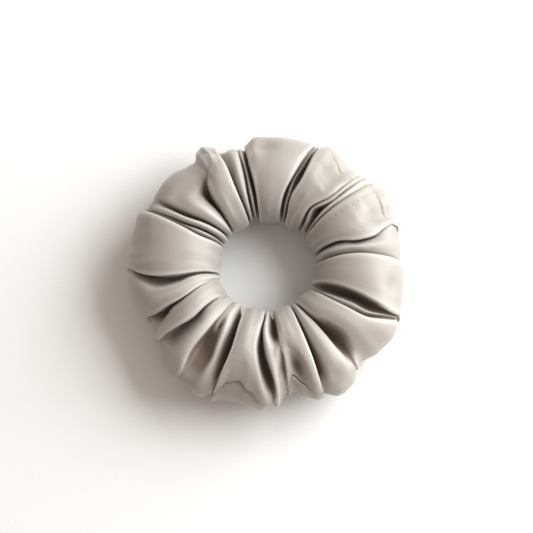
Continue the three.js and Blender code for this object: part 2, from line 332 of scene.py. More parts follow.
# The rim isn't round either: compass angle, its distance from the middle (mm), and how far round the
# tube, in degrees above the widest part, the long seam lies there.
RIM = np.array([
    (0, 53.4, 10), (10, 53.8, 14), (17, 54.6, 30), (22, 53.4, 38), (28, 55.4, 43), (34, 54.8, 38),
    (40, 54, 40), (45, 52.4, 48), (50, 50.6, 48), (56, 52.2, 42), (62, 53.8, 30), (66, 52.8, 20),
    (72, 51.6, 12), (80, 51.4, 12), (90, 51, 12), (95, 51.4, 14), (100, 48.8, 20), (105, 48.8, 20),
    (110, 49.6, 28), (114, 51.6, 40), (118, 53.6, 44), (121, 53, 40), (124, 49.6, 30), (128, 50.2, 24),
    (135, 51.9, 22), (145, 52, 22), (150, 52.4, 20), (154, 51.8, 14), (158, 54, 14), (165, 53.4, 20),
    (172, 53, 20), (178, 54.4, 16), (181, 55, 12), (184, 53.4, 8), (192, 53.6, 6), (200, 53, 6),
    (206, 51, 6), (210, 50.6, 8), (215, 52.6, 10), (220, 54.4, 12), (228, 57, 16), (236, 58.2, 18),
    (243, 58.6, 21), (248, 57.4, 24), (253, 54.8, 44), (258, 54.2, 48), (263, 55.2, 38), (270, 57.2, 20),
    (275, 56, 17), (279, 53, 26), (283, 50.8, 44), (287, 53.6, 34), (292, 56.8, 21), (300, 58.6, 22),
    (306, 57.8, 22), (311, 56, 22), (315, 53.4, 17), (323, 55.4, 16), (331, 57, 17), (338, 57, 15),
    (343, 55, 8), (350, 54.2, 6),
])
# The hair opening isn't quite round: compass angle and its distance from the middle (mm).
WAIST = np.array([
    (0, 19.2), (25, 19.0), (45, 18.4), (65, 17.5), (90, 17.8), (115, 17.4), (140, 17.2), (165, 17.6),
    (185, 17.3), (200, 18.2), (222, 18.4), (240, 17.6), (262, 17.3), (280, 17.4), (300, 17.8), (330, 19),
])
print(len(LOBES), "lobes,", len(HOLLOWS), "hollows; rim", RIM[:, 1].min(), "to", RIM[:, 1].max(), "mm")

# %% [markdown]
# ## The gathered cloth
#
# The cover is a surface of two parameters: `turn`, round the ring, and `girth`, round the tube, 0 at
# the rim and a half turn at the waist. Without folds it would be a ring of oval section. Each row of
# constant girth is a closed curve through the edges, middles and valleys of the lobes, drawn as a
# distance along the ring and a depth below the oval. A crisp edge is a point where the curve's
# tangent is short. A valley may lie under the edge beside it, so that one lobe laps over the next.

# %% Sizes of the tube
cover_low, cover_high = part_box("satin_cover")
TUBE_LOW, TUBE_HIGH = cover_low[2], cover_high[2]
MEAN_RADIUS = 35.8 * MM
MEAN_HALF_WIDTH = 18.7 * MM
HALF_WAY = (TUBE_HIGH + TUBE_LOW) / 2
print("tube from", round(TUBE_LOW / MM, 1), "to", round(TUBE_HIGH / MM, 1), "mm high")

# %% How the lobes hang
# A valley's real depth for each millimetre listed, at the crown and at the waist.
DEEPER = 1.65
DEEPER_AT_WAIST = 1.3
# How far a valley runs in under a crisp edge (degrees), from a listed depth of OVERHANG_DEPTH (mm) on.
OVERHANG = 2.2
OVERHANG_DEPTH = 6
# How far a soft edge sinks (mm), beside a valley of SLUMP_DEPTH (mm) or more, and every edge at least.
SLUMP = 2.6
SLUMP_DEPTH = 8
EDGE_DROP = 0.3
# How far a lobe swells (mm), from a width of BULGE_WIDTH on, and the least width of a lobe (degrees).
BULGE = 0.5
BULGE_WIDTH = 12
LEAST_WIDTH = 0.3
# How long the curve's tangent is at an edge that isn't crisp and at a valley's bottom.
TENSION = 0.8
# How much of an edge's crispness is left at the rim, and from which girth on it is whole.
RIM_FIRM = 0.3
FIRM_FROM = np.radians(50)
# How much of the depth the underside loses, where the cloth lies pressed, and how much the cloth just
# below the seam loses, with the place and the reach of that in radians.
UNDERSIDE = 0.45
CALM, CALM_PLACE, CALM_REACH = 0.6, 0.35, 0.3
listed = max(max(lobe[2]) for lobe in LOBES)
print("deepest valley listed, mm:", listed, "so really, at the crown:", round(listed * DEEPER, 1))


# %% Curves that the folds follow
def smooth_ring(points, column, at):
    """A smooth closed curve through (degrees, value) points, read at the angles `at`: between two
    points the value eases by t squared times (3 - 2 t) from one to the other."""
    angles = np.radians(np.append(points[:, 0], points[0, 0] + 360))
    values = np.append(points[:, column], points[0, column])
    at = at % TURN
    low = np.clip(np.searchsorted(angles, at, side="right") - 1, 0, len(angles) - 2)
    share = (at - angles[low]) / (angles[low + 1] - angles[low])
    share = share * share * (3 - 2 * share)
    return values[low] * (1 - share) + values[low + 1] * share


def through_four(a, b, c, d, t):
    """The Catmull-Rom curve from b (t = 0) to c (t = 1), with the slopes of the lines a-c and b-d:
    half of 2b + (c - a) t + (2a - 5b + 4c - d) t squared + (3b - a - 3c + d) t cubed."""
    curve = 2 * b + (c - a) * t + (2 * a - 5 * b + 4 * c - d) * t**2
    return (curve + (3 * b - a - 3 * c + d) * t**3) / 2


def over_tube(values, girth, late=False):
    """A lobe's angle or depth at each place round the tube: a Catmull-Rom curve through its values
    at the seven places. The underside is the mirror image of the top. If `late`, the value keeps to
    its first one for longer, so that a valley closes before it reaches the rim."""
    values = np.asarray(values, dtype=float)
    from_rim = np.abs((girth + np.pi) % TURN - np.pi)
    low = np.clip(np.searchsorted(PLACES, from_rim, side="right") - 1, 0, len(PLACES) - 2)
    t = (from_rim - PLACES[low]) / (PLACES[low + 1] - PLACES[low])
    if late:
        t = np.where(low == 0, t * t, t)
    padded = np.concatenate([values[:1], values, values[-1:]])
    return through_four(*(padded[low + k] for k in range(4)), t)


# %% Points of the folds
def fold_points(girth):
    """For each girth, the points of its row's curve (angle in radians, depth in metres), and how
    long the curve's tangent is at each: left edge, middle, right edge and valley of each lobe."""
    angles, depths, tangents = [], [], []
    from_rim = np.abs((girth + np.pi) % TURN - np.pi)
    firm = RIM_FIRM + (1 - RIM_FIRM) * np.clip(from_rim / FIRM_FROM, 0, 1)
    near_waist = np.clip((from_rim - PLACES[4]) / (PLACES[5] - PLACES[4]), 0, 1)
    deeper = DEEPER + (DEEPER_AT_WAIST - DEEPER) * near_waist
    for i, (left, right, valley, top, crisp_left, crisp_right, bulge, under) in enumerate(LOBES):
        next_lobe = LOBES[(i + 1) % len(LOBES)]
        next_left, next_crisp = next_lobe[0], next_lobe[4]
        ahead = 360 if i == len(LOBES) - 1 else 0
        from_left, to_right = over_tube(left, girth), over_tube(right, girth)
        beyond = over_tube(next_left, girth) + ahead
        level = over_tube(top, girth)
        wide = np.maximum(to_right - from_left, LEAST_WIDTH)
        bottom = to_right + (beyond - to_right) * under
        lean = -crisp_right if under < 0.5 else next_crisp
        bottom += OVERHANG * lean * np.clip(over_tube(valley, girth) / OVERHANG_DEPTH, 0, 1)
        angles += [from_left, from_left + wide / 2, from_left + wide, bottom]
        before = deeper * over_tube(LOBES[i - 1][2], girth, late=True)
        after = deeper * over_tube(valley, girth, late=True)
        slump_left = SLUMP * (1 - crisp_left) ** 2 * np.clip(before / SLUMP_DEPTH, 0, 1)
        slump_right = SLUMP * (1 - crisp_right) ** 2 * np.clip(after / SLUMP_DEPTH, 0, 1)
        swell = BULGE * bulge * np.minimum(wide / BULGE_WIDTH, 1)
        depths += [level + EDGE_DROP + slump_left, level - swell, level + EDGE_DROP + slump_right]
        depths += [np.maximum(after, level + 0.1)]
        whole = np.ones_like(girth)
        tangents += [TENSION * (1 - crisp_left * firm), whole]
        tangents += [TENSION * (1 - crisp_right * firm), TENSION * whole]
    return np.radians(np.stack(angles, 1)), np.stack(depths, 1) * MM, np.stack(tangents, 1)


# %% One row of folds
def closed_curve(x, y, period, tangent, steps):
    """Closed cubic curves through the points (x, y) of each row, which repeat after `period` in x:
    Hermite pieces, whose tangents are the Catmull-Rom ones for uneven steps, times `tangent`."""
    point = np.stack([x, y], -1)
    shift = np.zeros_like(point[:, :1])
    shift[..., 0] = period[:, None]
    after = np.concatenate([point[:, 1:], point[:, :1] + shift], 1)
    chord = np.sqrt(np.linalg.norm(after - point, axis=-1, keepdims=True)) + 1e-6
    before_chord = np.roll(chord, 1, axis=1)
    slope = (after - point) / chord
    before_slope = np.roll(slope, 1, axis=1)
    along = (slope * before_chord + before_slope * chord) / (chord + before_chord)
    along = along * tangent[..., None]
    next_along = np.roll(along, -1, axis=1)
    t = (np.arange(steps) / steps)[None, None, :, None]
    here, there = point[:, :, None], after[:, :, None]
    m0, m1 = (along * chord)[:, :, None], (next_along * chord)[:, :, None]
    curve = (2 * t**3 - 3 * t**2 + 1) * here + (t**3 - 2 * t**2 + t) * m0
    curve = curve + (3 * t**2 - 2 * t**3) * there + (t**3 - t**2) * m1
    return curve.reshape(len(x), -1, 2)


# %% Rows round the ring
def folded_rows(girth, steps=40):
    """Closely sampled rows round the ring, one for each girth: radius = middle + (half width -
    depth) cos(girth), height = middle + (half height - depth) sin(girth). The girth is turned up
    near the rim, so that row 0 is the long seam."""
    flat_radius = MEAN_RADIUS + MEAN_HALF_WIDTH * np.cos(girth)
    angle, depth, tangent = fold_points(girth)
    curve = closed_curve(angle * flat_radius[:, None], depth, TURN * flat_radius, tangent, steps)
    turn = curve[..., 0] / flat_radius[:, None]
    depth = curve[..., 1]
    seam_up = np.radians(smooth_ring(RIM, 2, turn))
    girth = girth[:, None] + seam_up * ((1 + np.cos(girth[:, None])) / 2) ** 2
    rim = smooth_ring(RIM, 1, turn) * MM
    waist = smooth_ring(WAIST, 1, turn) * MM
    middle = (rim + waist) / 2
    half_width = (rim - waist) / 2
    half_height = (TUBE_HIGH - TUBE_LOW) / 2
    for where, up, deep, reach_along, reach_across in HOLLOWS:
        off = (turn - np.radians(where) + np.pi) % TURN - np.pi
        along = off * (middle + half_width * np.cos(girth)) / (reach_along * MM)
        across = (girth - np.radians(up)) * half_width / (reach_across * MM)
        depth = depth + deep * MM * np.exp(-(along**2) - across**2)
    from_rim = (girth + np.pi) % TURN - np.pi
    depth = depth * (1 - UNDERSIDE * np.clip(-2 * np.sin(girth), 0, 1))
    depth = depth * (1 - CALM * np.exp(-(((from_rim + CALM_PLACE) / CALM_REACH) ** 2)))
    radius = middle + (half_width - depth) * np.cos(girth)
    height = HALF_WAY + (half_height - depth) * np.sin(girth)
    return np.stack([radius * np.cos(turn), radius * np.sin(turn), height], axis=-1), depth


# %% Even columns
def evenly(rows, depth, columns):
    """The same rows, with the given number of points each. Every row is cut at the same shares of its
    folds, which are even steps of (mean + half of the longest) row, so a column keeps to its fold."""
    closed = np.concatenate([rows, rows[:, :1]], axis=1)
    steps = np.linalg.norm(np.diff(closed, axis=1), axis=-1)
    share = steps.mean(0) + steps.max(0) / 2
    walked = np.append(0, np.cumsum(share)) / share.sum()
    place = np.interp(np.linspace(0, 1, columns, endpoint=False), walked, np.arange(len(walked)))
    low = np.floor(place).astype(int)
    t = (place - low)[None, :]
    deep = depth[:, low] * (1 - t) + np.roll(depth, -1, axis=1)[:, low] * t
    return closed[:, low] * (1 - t[..., None]) + closed[:, low + 1] * t[..., None], deep, steps.sum(1)


# %% The whole surface
TUBE_ROWS = 80
SIM_COLUMNS = 320
FINE_COLUMNS = 528
SEAM_START = 248

# The rows lie closer together on the upper side, round DENSEST, than on the one that lies pressed.
CROWDED, DENSEST = 0.3, 1.4
along_girth = np.linspace(0, TURN, TUBE_ROWS, endpoint=False)
row_girth = along_girth - CROWDED * (np.sin(along_girth - DENSEST) + np.sin(DENSEST))
fold_rows = [np.roll(part, -SEAM_START, axis=1) for part in folded_rows(row_girth)]
seed, seed_depth, row_lengths = evenly(*fold_rows, SIM_COLUMNS)
fine, fine_depth, row_lengths = evenly(*fold_rows, FINE_COLUMNS)
tube_lengths = np.linalg.norm(np.diff(np.concatenate([seed, seed[:1]]), axis=0), axis=-1).sum(0)
for name, lengths in (("ring", row_lengths), ("tube", tube_lengths)):
    print(f"cloth round the {name}, mm:", round(lengths.min() / MM), "to", round(lengths.max() / MM))


# %% Grid to mesh
def grid_faces(rows, columns, close_rows, close_columns):
    """Quads between neighbouring points of a grid, whose first index counts rows."""
    i = np.arange(rows if close_rows else rows - 1)[:, None]
    j = np.arange(columns if close_columns else columns - 1)[None, :]
    down, right = (i + 1) % rows, (j + 1) % columns
    corners = [i * columns + j, i * columns + right, down * columns + right, down * columns + j]
    return np.stack(np.broadcast_arrays(*corners), axis=-1).reshape(-1, 4)


# %% A new object
def mesh_object(name, points, faces, uv=None):
    """A new object from points (n x 3), quads (m x 4) and, if wanted, a UV place for each point."""
    mesh = bpy.data.meshes.new(name)
    mesh.vertices.add(len(points))
    mesh.vertices.foreach_set("co", np.ascontiguousarray(points, dtype=np.float32).ravel())
    mesh.loops.add(faces.size)
    mesh.loops.foreach_set("vertex_index", faces.ravel().astype(np.int32))
    mesh.polygons.add(len(faces))
    mesh.polygons.foreach_set("loop_start", (np.arange(len(faces)) * faces.shape[1]).astype(np.int32))
    mesh.polygons.foreach_set("use_smooth", np.ones(len(faces), dtype=bool))
    mesh.update(calc_edges=True)
    if uv is not None:
        layer = mesh.uv_layers.new(name="cloth")
        layer.data.foreach_set("uv", uv[faces.ravel()].astype(np.float32).ravel())
    made = bpy.data.objects.new(name, mesh)
    bpy.context.collection.objects.link(made)
    return made


# %% [markdown]
# ## Settling the cloth
#
# The drawn folds are a little too regular. Real cloth keeps its area, bends easily and can't pass
# through itself, so it finds its own small wrinkles. Blender's cloth solver could gather the whole
# strip from flat, but then no fold would lie where it should. So it only finishes the drawn surface:
# a coarser copy, whose shape at ease is slightly larger, moves for a few frames while every point is
# drawn back to its place, most of all in the valleys. A share of that small movement, smoothed and
# kept under a limit, is then added to the fine surface.


# %% Cloth solver
def settle(points, rest, hold, frames, distance, bending, tension, shear, pressure):
    """Blender's cloth solver, on a copy ten times life size, because it is made for cloth the size
    of clothes: the grid `points` moves as cloth whose shape at ease is `rest`, while each point is
    drawn back to its start by its share of `hold`."""
    scale = 10
    rows, columns = points.shape[:2]
    faces = grid_faces(rows, columns, True, True)
    cloth = mesh_object("settling", points.reshape(-1, 3) * scale, faces)
    cloth.shape_key_add(name="gathered")
    ease = cloth.shape_key_add(name="at_ease")
    ease.data.foreach_set("co", (rest * scale).astype(np.float32).ravel())
    ease.value = 0
    group = cloth.vertex_groups.new(name="hold")
    grades = 50
    levels = np.round(hold.ravel() * grades).astype(int)
    for level in np.unique(levels[levels > 0]):
        group.add(np.nonzero(levels == level)[0].tolist(), level / grades, "REPLACE")
    solver = cloth.modifiers.new("cloth", "CLOTH")
    fabric = solver.settings
    fabric.quality = 6
    fabric.mass = 0.3
    fabric.tension_stiffness = tension
    fabric.compression_stiffness = tension
    fabric.shear_stiffness = shear
    fabric.bending_stiffness = bending
    fabric.tension_damping = 5
    fabric.compression_damping = 5
    fabric.shear_damping = 5
    fabric.bending_damping = 0.5
    fabric.rest_shape_key = ease
    fabric.vertex_group_mass = "hold"
    fabric.use_pressure = True
    fabric.uniform_pressure_force = pressure
    fabric.effector_weights.gravity = 0
    touch = solver.collision_settings
    touch.use_collision = False
    touch.use_self_collision = True
    touch.self_distance_min = distance * scale
    touch.self_friction = 2
    solver.point_cache.frame_start = 1
    solver.point_cache.frame_end = frames
    for number in range(1, frames + 1):
        scene.frame_set(number)
    settled = cloth.evaluated_get(bpy.context.evaluated_depsgraph_get())
    out = np.empty(points.size, dtype=np.float32)
    settled.data.vertices.foreach_get("co", out)
    bpy.data.objects.remove(cloth)
    scene.frame_set(1)
    return out.reshape(points.shape).astype(float) / scale


# %% From the coarse grid to the fine one
def more_columns(grid, columns):
    """A closed grid with another number of columns, on Catmull-Rom curves through its own."""
    had = grid.shape[1]
    place = np.arange(columns) * had / columns
    first = np.floor(place).astype(int)
    t = (place - first)[None, :, None]
    return through_four(*(grid[:, (first + k) % had] for k in (-1, 0, 1, 2)), t)


def even_out(grid, times):
    """A closed grid of numbers or vectors, each evened out with its four neighbours."""
    for _ in range(times):
        grid = (grid + sum(np.roll(grid, k, axis=a) for k in (-1, 1) for a in (0, 1))) / 5
    return grid


# %% Settle the folds
GROWTH = 1.02
HOLD_LEAST = 0.08
HOLD_MORE = 0.5
HELD_DEPTH = 6 * MM
MOST_MOVED = 1.2 * MM
SETTLED_SHARE = 0.6

cover_points = fine
hold = HOLD_LEAST + HOLD_MORE * np.clip(seed_depth / HELD_DEPTH, 0, 1)
settled_seed = settle(seed, seed * GROWTH, hold, frames=8, distance=0.5 * MM, bending=8,
                      tension=15, shear=5, pressure=0.2)
moved = settled_seed - seed
far = np.linalg.norm(moved, axis=-1, keepdims=True)
moved = moved / (1 + far / MOST_MOVED)
cover_points = fine + SETTLED_SHARE * more_columns(even_out(moved, 2), FINE_COLUMNS)
half, nearly_all = (np.percentile(np.linalg.norm(moved, axis=-1), [50, 99]) / MM).round(2)
print("moved, mm: half of the points under", half, "and nearly all under", nearly_all)

# %% [markdown]
# ## Sewing the cover
#
# The real cover is one strip of satin. It is folded along its length, face inwards, seamed near the
# edges and turned right side out, so that a single seam runs round the rim with its two edges inside.
# Then the elastic is drawn through, and where the ends of the tube meet, one is turned under in a hem
# and lapped over the other, and both are stitched down. The strip here goes the same way: the grid
# gains an allowance of a few millimetres at both edges, bent in towards the middle of the tube, a hem
# at one end and a tuck at the other. Only then does it get its thickness, from a Solidify modifier.

# %% Sizes for sewing
CLOTH = 0.3 * MM
# Two layers that lie together: from one's outer face to the other's.
LAYER = 0.55 * MM
HEM_COLUMNS = 8
LAP_COLUMNS = 12
# The turned-in edges have these rows, and lie this far apart.
ALLOWANCE = np.array([0.5, 2, 4, 6]) * MM
EDGE_ROWS = len(ALLOWANCE)
EDGE_GAP = 0.2 * MM
# At the rim the lower cloth lies a step further in than the upper, and nears it over a few rows.
RIM_STEP = 1.0 * MM
STEP_ROWS = 3.0
# No cloth comes nearer to the floor than this.
FLOOR_GAP = 0.02 * MM
print("the long edges turn in by, mm:", ALLOWANCE[-1] / MM)


# %% Ways out and in
def unit(vectors):
    """The vectors with a length of one."""
    return vectors / np.linalg.norm(vectors, axis=-1, keepdims=True)


def outward(grid):
    """Unit normals of a closed grid: its step round the ring crossed with its step round the tube."""
    along = np.roll(grid, -1, axis=1) - np.roll(grid, 1, axis=1)
    across = np.roll(grid, -1, axis=0) - np.roll(grid, 1, axis=0)
    return unit(np.cross(along, across))


def tube_middle(points):
    """The nearest point of the tube's middle line: a circle at half height."""
    flat = unit(points[..., :2])
    height = np.full(points.shape[:-1] + (1,), HALF_WAY)
    return np.concatenate([flat * MEAN_RADIUS, height], axis=-1)


def inward(points):
    """Unit vectors from points to the tube's middle line."""
    return unit(tube_middle(points) - points)


# %% Fold the strip along its length
normals = outward(cover_points)
smooth_normals = normals
for _ in range(6):
    smooth_normals = unit(sum(np.roll(smooth_normals, k, axis=1) for k in (-1, 0, 1)))

# Round the tube: the upper cloth runs from the seam over the crown to the waist and back underneath,
# where it meets the seam again a step further in. Both edges turn in.
below = np.arange(TUBE_ROWS, 0, -1)[:, None, None]
step = RIM_STEP * np.exp(-(below / STEP_ROWS))
under_seam = cover_points + inward(cover_points) * step
lower_edge = 0.5 * (under_seam[-1] + cover_points[0] + inward(cover_points[0]) * RIM_STEP)
turned_up = cover_points[0] + inward(cover_points[0]) * ALLOWANCE[::-1, None, None]
turned_down = lower_edge + inward(lower_edge) * (ALLOWANCE[:, None, None] + EDGE_GAP)
tube = np.concatenate([turned_up, under_seam, lower_edge[None], turned_down])
edge_normals = np.repeat(smooth_normals[:1], EDGE_ROWS, axis=0)
tube_normals = np.concatenate([edge_normals, smooth_normals, smooth_normals[:1], edge_normals])
print("rows from edge to edge:", len(tube), "points in each:", tube.shape[1])

# %% Hem one end and tuck the other
# Round the ring: the far end is turned under itself in a hem, and the near end is tucked under both.
HEM_EDGE = 0.4  # of a column's step, past the last one
last = tube[:, -1:] + (tube[:, -1:] - tube[:, -2:-1]) * HEM_EDGE
fold = last - tube_normals[:, -1:] * LAYER / 2
hem = (tube - tube_normals * LAYER)[:, :-HEM_COLUMNS - 1:-1]
deep = np.minimum(np.arange(LAP_COLUMNS, 0, -1) / 2, 1)[None, :, None] * 2 * LAYER
tucked = tube[:, -LAP_COLUMNS:] - tube_normals[:, -LAP_COLUMNS:] * deep
strip = np.concatenate([tucked, tube, fold, hem], axis=1)
strip[..., 2] = np.maximum(strip[..., 2], FLOOR_GAP)
print("columns from end to end:", strip.shape[1])

# %% The strip laid flat
# The UV map is the strip as it was cut, in metres: mean steps of cloth, added up in both ways.
step_along = np.linalg.norm(np.diff(strip, axis=1), axis=-1).mean(0)
step_across = np.linalg.norm(np.diff(strip, axis=0), axis=-1).mean(1)
cut_u = np.append(0, np.cumsum(step_along))
cut_v = np.append(0, np.cumsum(step_across))
strip_uv = np.stack(np.broadcast_arrays(cut_u[None, :], cut_v[:, None]), axis=-1)
print("strip as cut, mm:", round(cut_v[-1] / MM), "by", round(cut_u[-1] / MM))

# %% The cover
cover = mesh_object("cover", strip.reshape(-1, 3), grid_faces(*strip.shape[:2], False, False),
                    strip_uv.reshape(-1, 2))
wall = cover.modifiers.new("cloth thickness", "SOLIDIFY")
wall.thickness = CLOTH
wall.offset = -1
print("cover faces with its thickness:", 2 * len(cover.data.polygons))

# %% [markdown]
# ## Where the cloth bends
#
# A finish can't see the shape it lies on, so the shape is measured here and kept on the points: how
# sharp each ridge is, where the satin gets a painted highlight, and how deep each crease is, where it
# gets painted shade.


# %% Measure ridges and creases
def add_attribute(piece, name, values):
    """A number for each point of the mesh, for its finish to read."""
    layer = piece.data.attributes.new(name, "FLOAT", "POINT")
    layer.data.foreach_set("value", np.ascontiguousarray(values, dtype=np.float32).ravel())


def over_strip(values):
    """The grid's numbers, carried on to the strip's turned-in edges and ends."""
    tall = np.concatenate([values[[0] * EDGE_ROWS], values, values[[0] * (EDGE_ROWS + 1)]])
    parts = [tall[:, -LAP_COLUMNS:], tall, tall[:, -1:], tall[:, :-HEM_COLUMNS - 1:-1]]
    return np.concatenate(parts, axis=1)


# How sharply the cloth bends across each point, in 1/mm, measured over a few columns: twice the rise
# of the chord over the point, by the square of half the chord. A hollow is plus, a ridge is minus.
REACH = 2
LEAST_SPAN = 0.4 * MM
ends = [np.roll(cover_points, k, axis=1) for k in (-REACH, REACH)]
span = np.linalg.norm(ends[0] - ends[1], axis=-1) / 2
rise = (((ends[0] + ends[1]) / 2 - cover_points) * normals).sum(-1)
bend = rise * 2 / np.maximum(span, LEAST_SPAN) ** 2 * MM

# A ridge is whole at FULL_RIDGE, and a crease comes from the depth and from the bend.
SHARPEST, FULL_RIDGE = 1.2, 0.6
CREASE_DEPTH = 6 * MM
FROM_DEPTH, FROM_BEND = 0.8, 0.35
# The ridge mask places the satin's painted highlight.
ridge = np.clip(even_out(np.clip(-bend, 0, SHARPEST), 1) / FULL_RIDGE, 0, 1)
# The crease mask, from the depth and the bend, places the satin's painted shade.
hollow = np.clip(even_out(np.clip(bend, 0, 1), 2), 0, 1)
crease = np.clip(fine_depth / CREASE_DEPTH, 0, 1) * FROM_DEPTH + hollow * FROM_BEND
add_attribute(cover, "ridge", over_strip(ridge))
add_attribute(cover, "crease", over_strip(np.clip(crease, 0, 1)))
for name, values in (("ridges", ridge), ("creases", crease)):
    print("points in", name + ":", int((values > 0.5).sum()), "of", values.size)

# %% [markdown]
# ## The satin finish
#
# Satin's face is nearly all floating threads that lie side by side, so it is smooth and glossy along
# them and a little rough across. Here fine streaks that follow the cloth's own cut stand for the
# threads, in the bump and in the gloss. The folds also get painted light in their colour: a painted
# highlight makes the ridges lighter, and painted shade makes each crease warmer and darker, standing
# in for light that passes from cloth to cloth there.

# %% Satin threads
# How often the streaks change in a metre, round the ring and round the tube.
THREADS = (4200, 500, 1)
SLUBS = (900, 60, 1)
CLOUDS = 60

satin_finish = Finish("satin", specular_ior_level=0.42, sheen_weight=0.25, sheen_roughness=0.4)
satin_cut = satin_finish.uv("cloth")
threads = satin_finish.noise(satin_finish.scaled(satin_cut, THREADS), 1, 2)
slubs = satin_finish.noise(satin_finish.scaled(satin_cut, SLUBS), 1, 3)
clouds = satin_finish.noise(satin_finish.place(), CLOUDS, 3)
print("a thread every", round(1 / THREADS[0] / MM, 2), "mm, a slub every", round(1 / SLUBS[0] / MM, 1))

# %% Satin colour
SATIN_LIGHT = (0.365, 0.33, 0.302, 1)
# Painted shade, darker and warmer, for the creases.
SATIN_PAINTED_SHADE = (0.19, 0.145, 0.118, 1)
# A painted highlight, lighter, for the ridges.
SATIN_PAINTED_HIGHLIGHT = (0.56, 0.535, 0.505, 1)
HIGHLIGHT_SHARE = 0.75
MOTTLE_DARK, MOTTLE_LIGHT = (0.93, 0.925, 0.92, 1), (1, 1, 1, 1)

satin_crease_shade = satin_finish.attribute("crease")
satin_ridge_highlight = satin_finish.attribute("ridge")
# Painted shade: the creases take the darker, warmer colour.
tone = satin_finish.mix(satin_crease_shade.smooth(0.05, 0.7), SATIN_LIGHT, SATIN_PAINTED_SHADE)
# Painted highlight: the ridges take the lighter colour.
tone = satin_finish.mix(satin_ridge_highlight * HIGHLIGHT_SHARE, tone, SATIN_PAINTED_HIGHLIGHT)
mottle = (threads - 0.5) * 0.16 + (slubs - 0.5) * 0.14 + (clouds - 0.5) * 0.12
shade = satin_finish.mix(mottle.smooth(-0.12, 0.12), MOTTLE_DARK, MOTTLE_LIGHT)
satin_finish.drive("Base Color", satin_finish.scaled(tone, shade))
print("a crease keeps", round(100 * SATIN_PAINTED_SHADE[0] / SATIN_LIGHT[0]), "% of the satin's red")

# %% Satin gloss
SATIN_ROUGHNESS = 0.43
SATIN_BUMP = 0.06 * MM
satin_finish.drive("Roughness", SATIN_ROUGHNESS + (threads - 0.5) * 0.16 + satin_crease_shade * 0.1)
satin_finish.bump(threads * 0.7 + slubs * 0.6, SATIN_BUMP)
cover.data.materials.append(satin_finish.material)
print("nodes in the satin:", len(satin_finish.tree.nodes))

# %% The cover's part in the model
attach(cover, "root")
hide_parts("satin_cover")
print("the cover stands for satin_cover")

# %% [markdown]
# ## Stitches
#
# A lockstitch is two threads. The needle thread lies on one face of the cloth and the bobbin thread
# on the other, and at each hole they pull each other in. So a thread is a thin tube along the seam
# that lies on the cloth and sinks at every stitch. A curve with a bevel would be quicker to make, but
# would be the same all along, and a row of separate stitches wouldn't be one thread.


# %% Steps along a seam
def walk(step, path, *others):
    """A line through points, cut into equal steps, with the other arrays read at the same places."""
    gone = np.append(0, np.cumsum(np.linalg.norm(np.diff(path, axis=0), axis=1)))
    marks = np.linspace(0, gone[-1], int(round(gone[-1] / step)) + 1)
    lines = (path, *others)
    read = [np.stack([np.interp(marks, gone, line[:, k]) for k in range(3)], 1) for line in lines]
    return marks, *read


# %% Tube to mesh
def tube_object(name, rings, marks):
    """A closed tube: quads between neighbouring rings of points, and a flat face at each end. Its UV
    map holds the distance along it and the share of the way round it."""
    count, sides = rings.shape[:2]
    quads = grid_faces(count, sides, False, True)
    last = (count - 1) * sides
    ends = [list(range(sides))[::-1], list(range(last, last + sides))]
    mesh = bpy.data.meshes.new(name)
    mesh.from_pydata(rings.reshape(-1, 3).tolist(), [], quads.tolist() + ends)
    mesh.polygons.foreach_set("use_smooth", np.ones(len(mesh.polygons), dtype=bool))
    i, j = np.divmod(np.arange(len(quads)), sides)
    u = np.stack([marks[i], marks[i], marks[i + 1], marks[i + 1]], axis=1)
    v = np.stack([j, j + 1, j + 1, j], axis=1) / sides
    uv = np.zeros((len(mesh.loops), 2))
    uv[: quads.size] = np.stack([u, v], axis=-1).reshape(-1, 2)
    mesh.uv_layers.new(name="cloth").data.foreach_set("uv", uv.astype(np.float32).ravel())
    made = bpy.data.objects.new(name, mesh)
    bpy.context.collection.objects.link(made)
    return made


# %% One line of stitches
THREAD_RADIUS = 0.13 * MM
STITCH = 2.6 * MM
HOLE_REACH = 0.32 * MM
THREAD_STEP = 0.22 * MM
THREAD_SIDES = 6


def stitch_line(name, path, up, offset, replaced):
    """A thread along a seam: its height over the path is offset + radius x (1 - 3 exp(-(d / reach)^2)),
    where d is the distance to the nearest needle hole."""
    marks, path, up = walk(THREAD_STEP, path, up)
    up = unit(up)
    to_hole = np.abs((marks + STITCH / 2) % STITCH - STITCH / 2)
    height = offset + THREAD_RADIUS * (1 - 3 * np.exp(-((to_hole / HOLE_REACH) ** 2)))
    line = path + up * height[:, None]
    line[:, 2] = np.maximum(line[:, 2], THREAD_RADIUS)  # no thread goes below the floor
    along = unit(np.gradient(line, axis=0))
    side = unit(np.cross(along, up))
    lift = np.cross(side, along)
    angle = np.linspace(0, TURN, THREAD_SIDES, endpoint=False)[None, :, None]
    round_line = np.cos(angle) * lift[:, None] + np.sin(angle) * side[:, None]
    rings = line[:, None] + THREAD_RADIUS * round_line
    piece = tube_object(name, rings, marks)
    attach(piece, "root")
    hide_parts(replaced)
    print(name, "mm:", round(marks[-1] / MM), "stitches:", int(marks[-1] / STITCH))
    return piece


# %% [markdown]
# ## The two seams
#
# One seam goes once across the tube, through the lapped ends, and shows as a short line. The other
# goes all the way round the rim through the turned-in edges, and is hidden between them: its needle
# thread lies above both layers and its bobbin thread below. Both follow the strip's own grid, a column
# for the first and a row for the second, so the stitches bend with every fold.

# %% Paths of the seams
# Which column the closing seam follows, and which rows the long seam's two threads follow.
CLOSING_COLUMN = -4
NEEDLE_ROW, BOBBIN_ROW = 1, -3

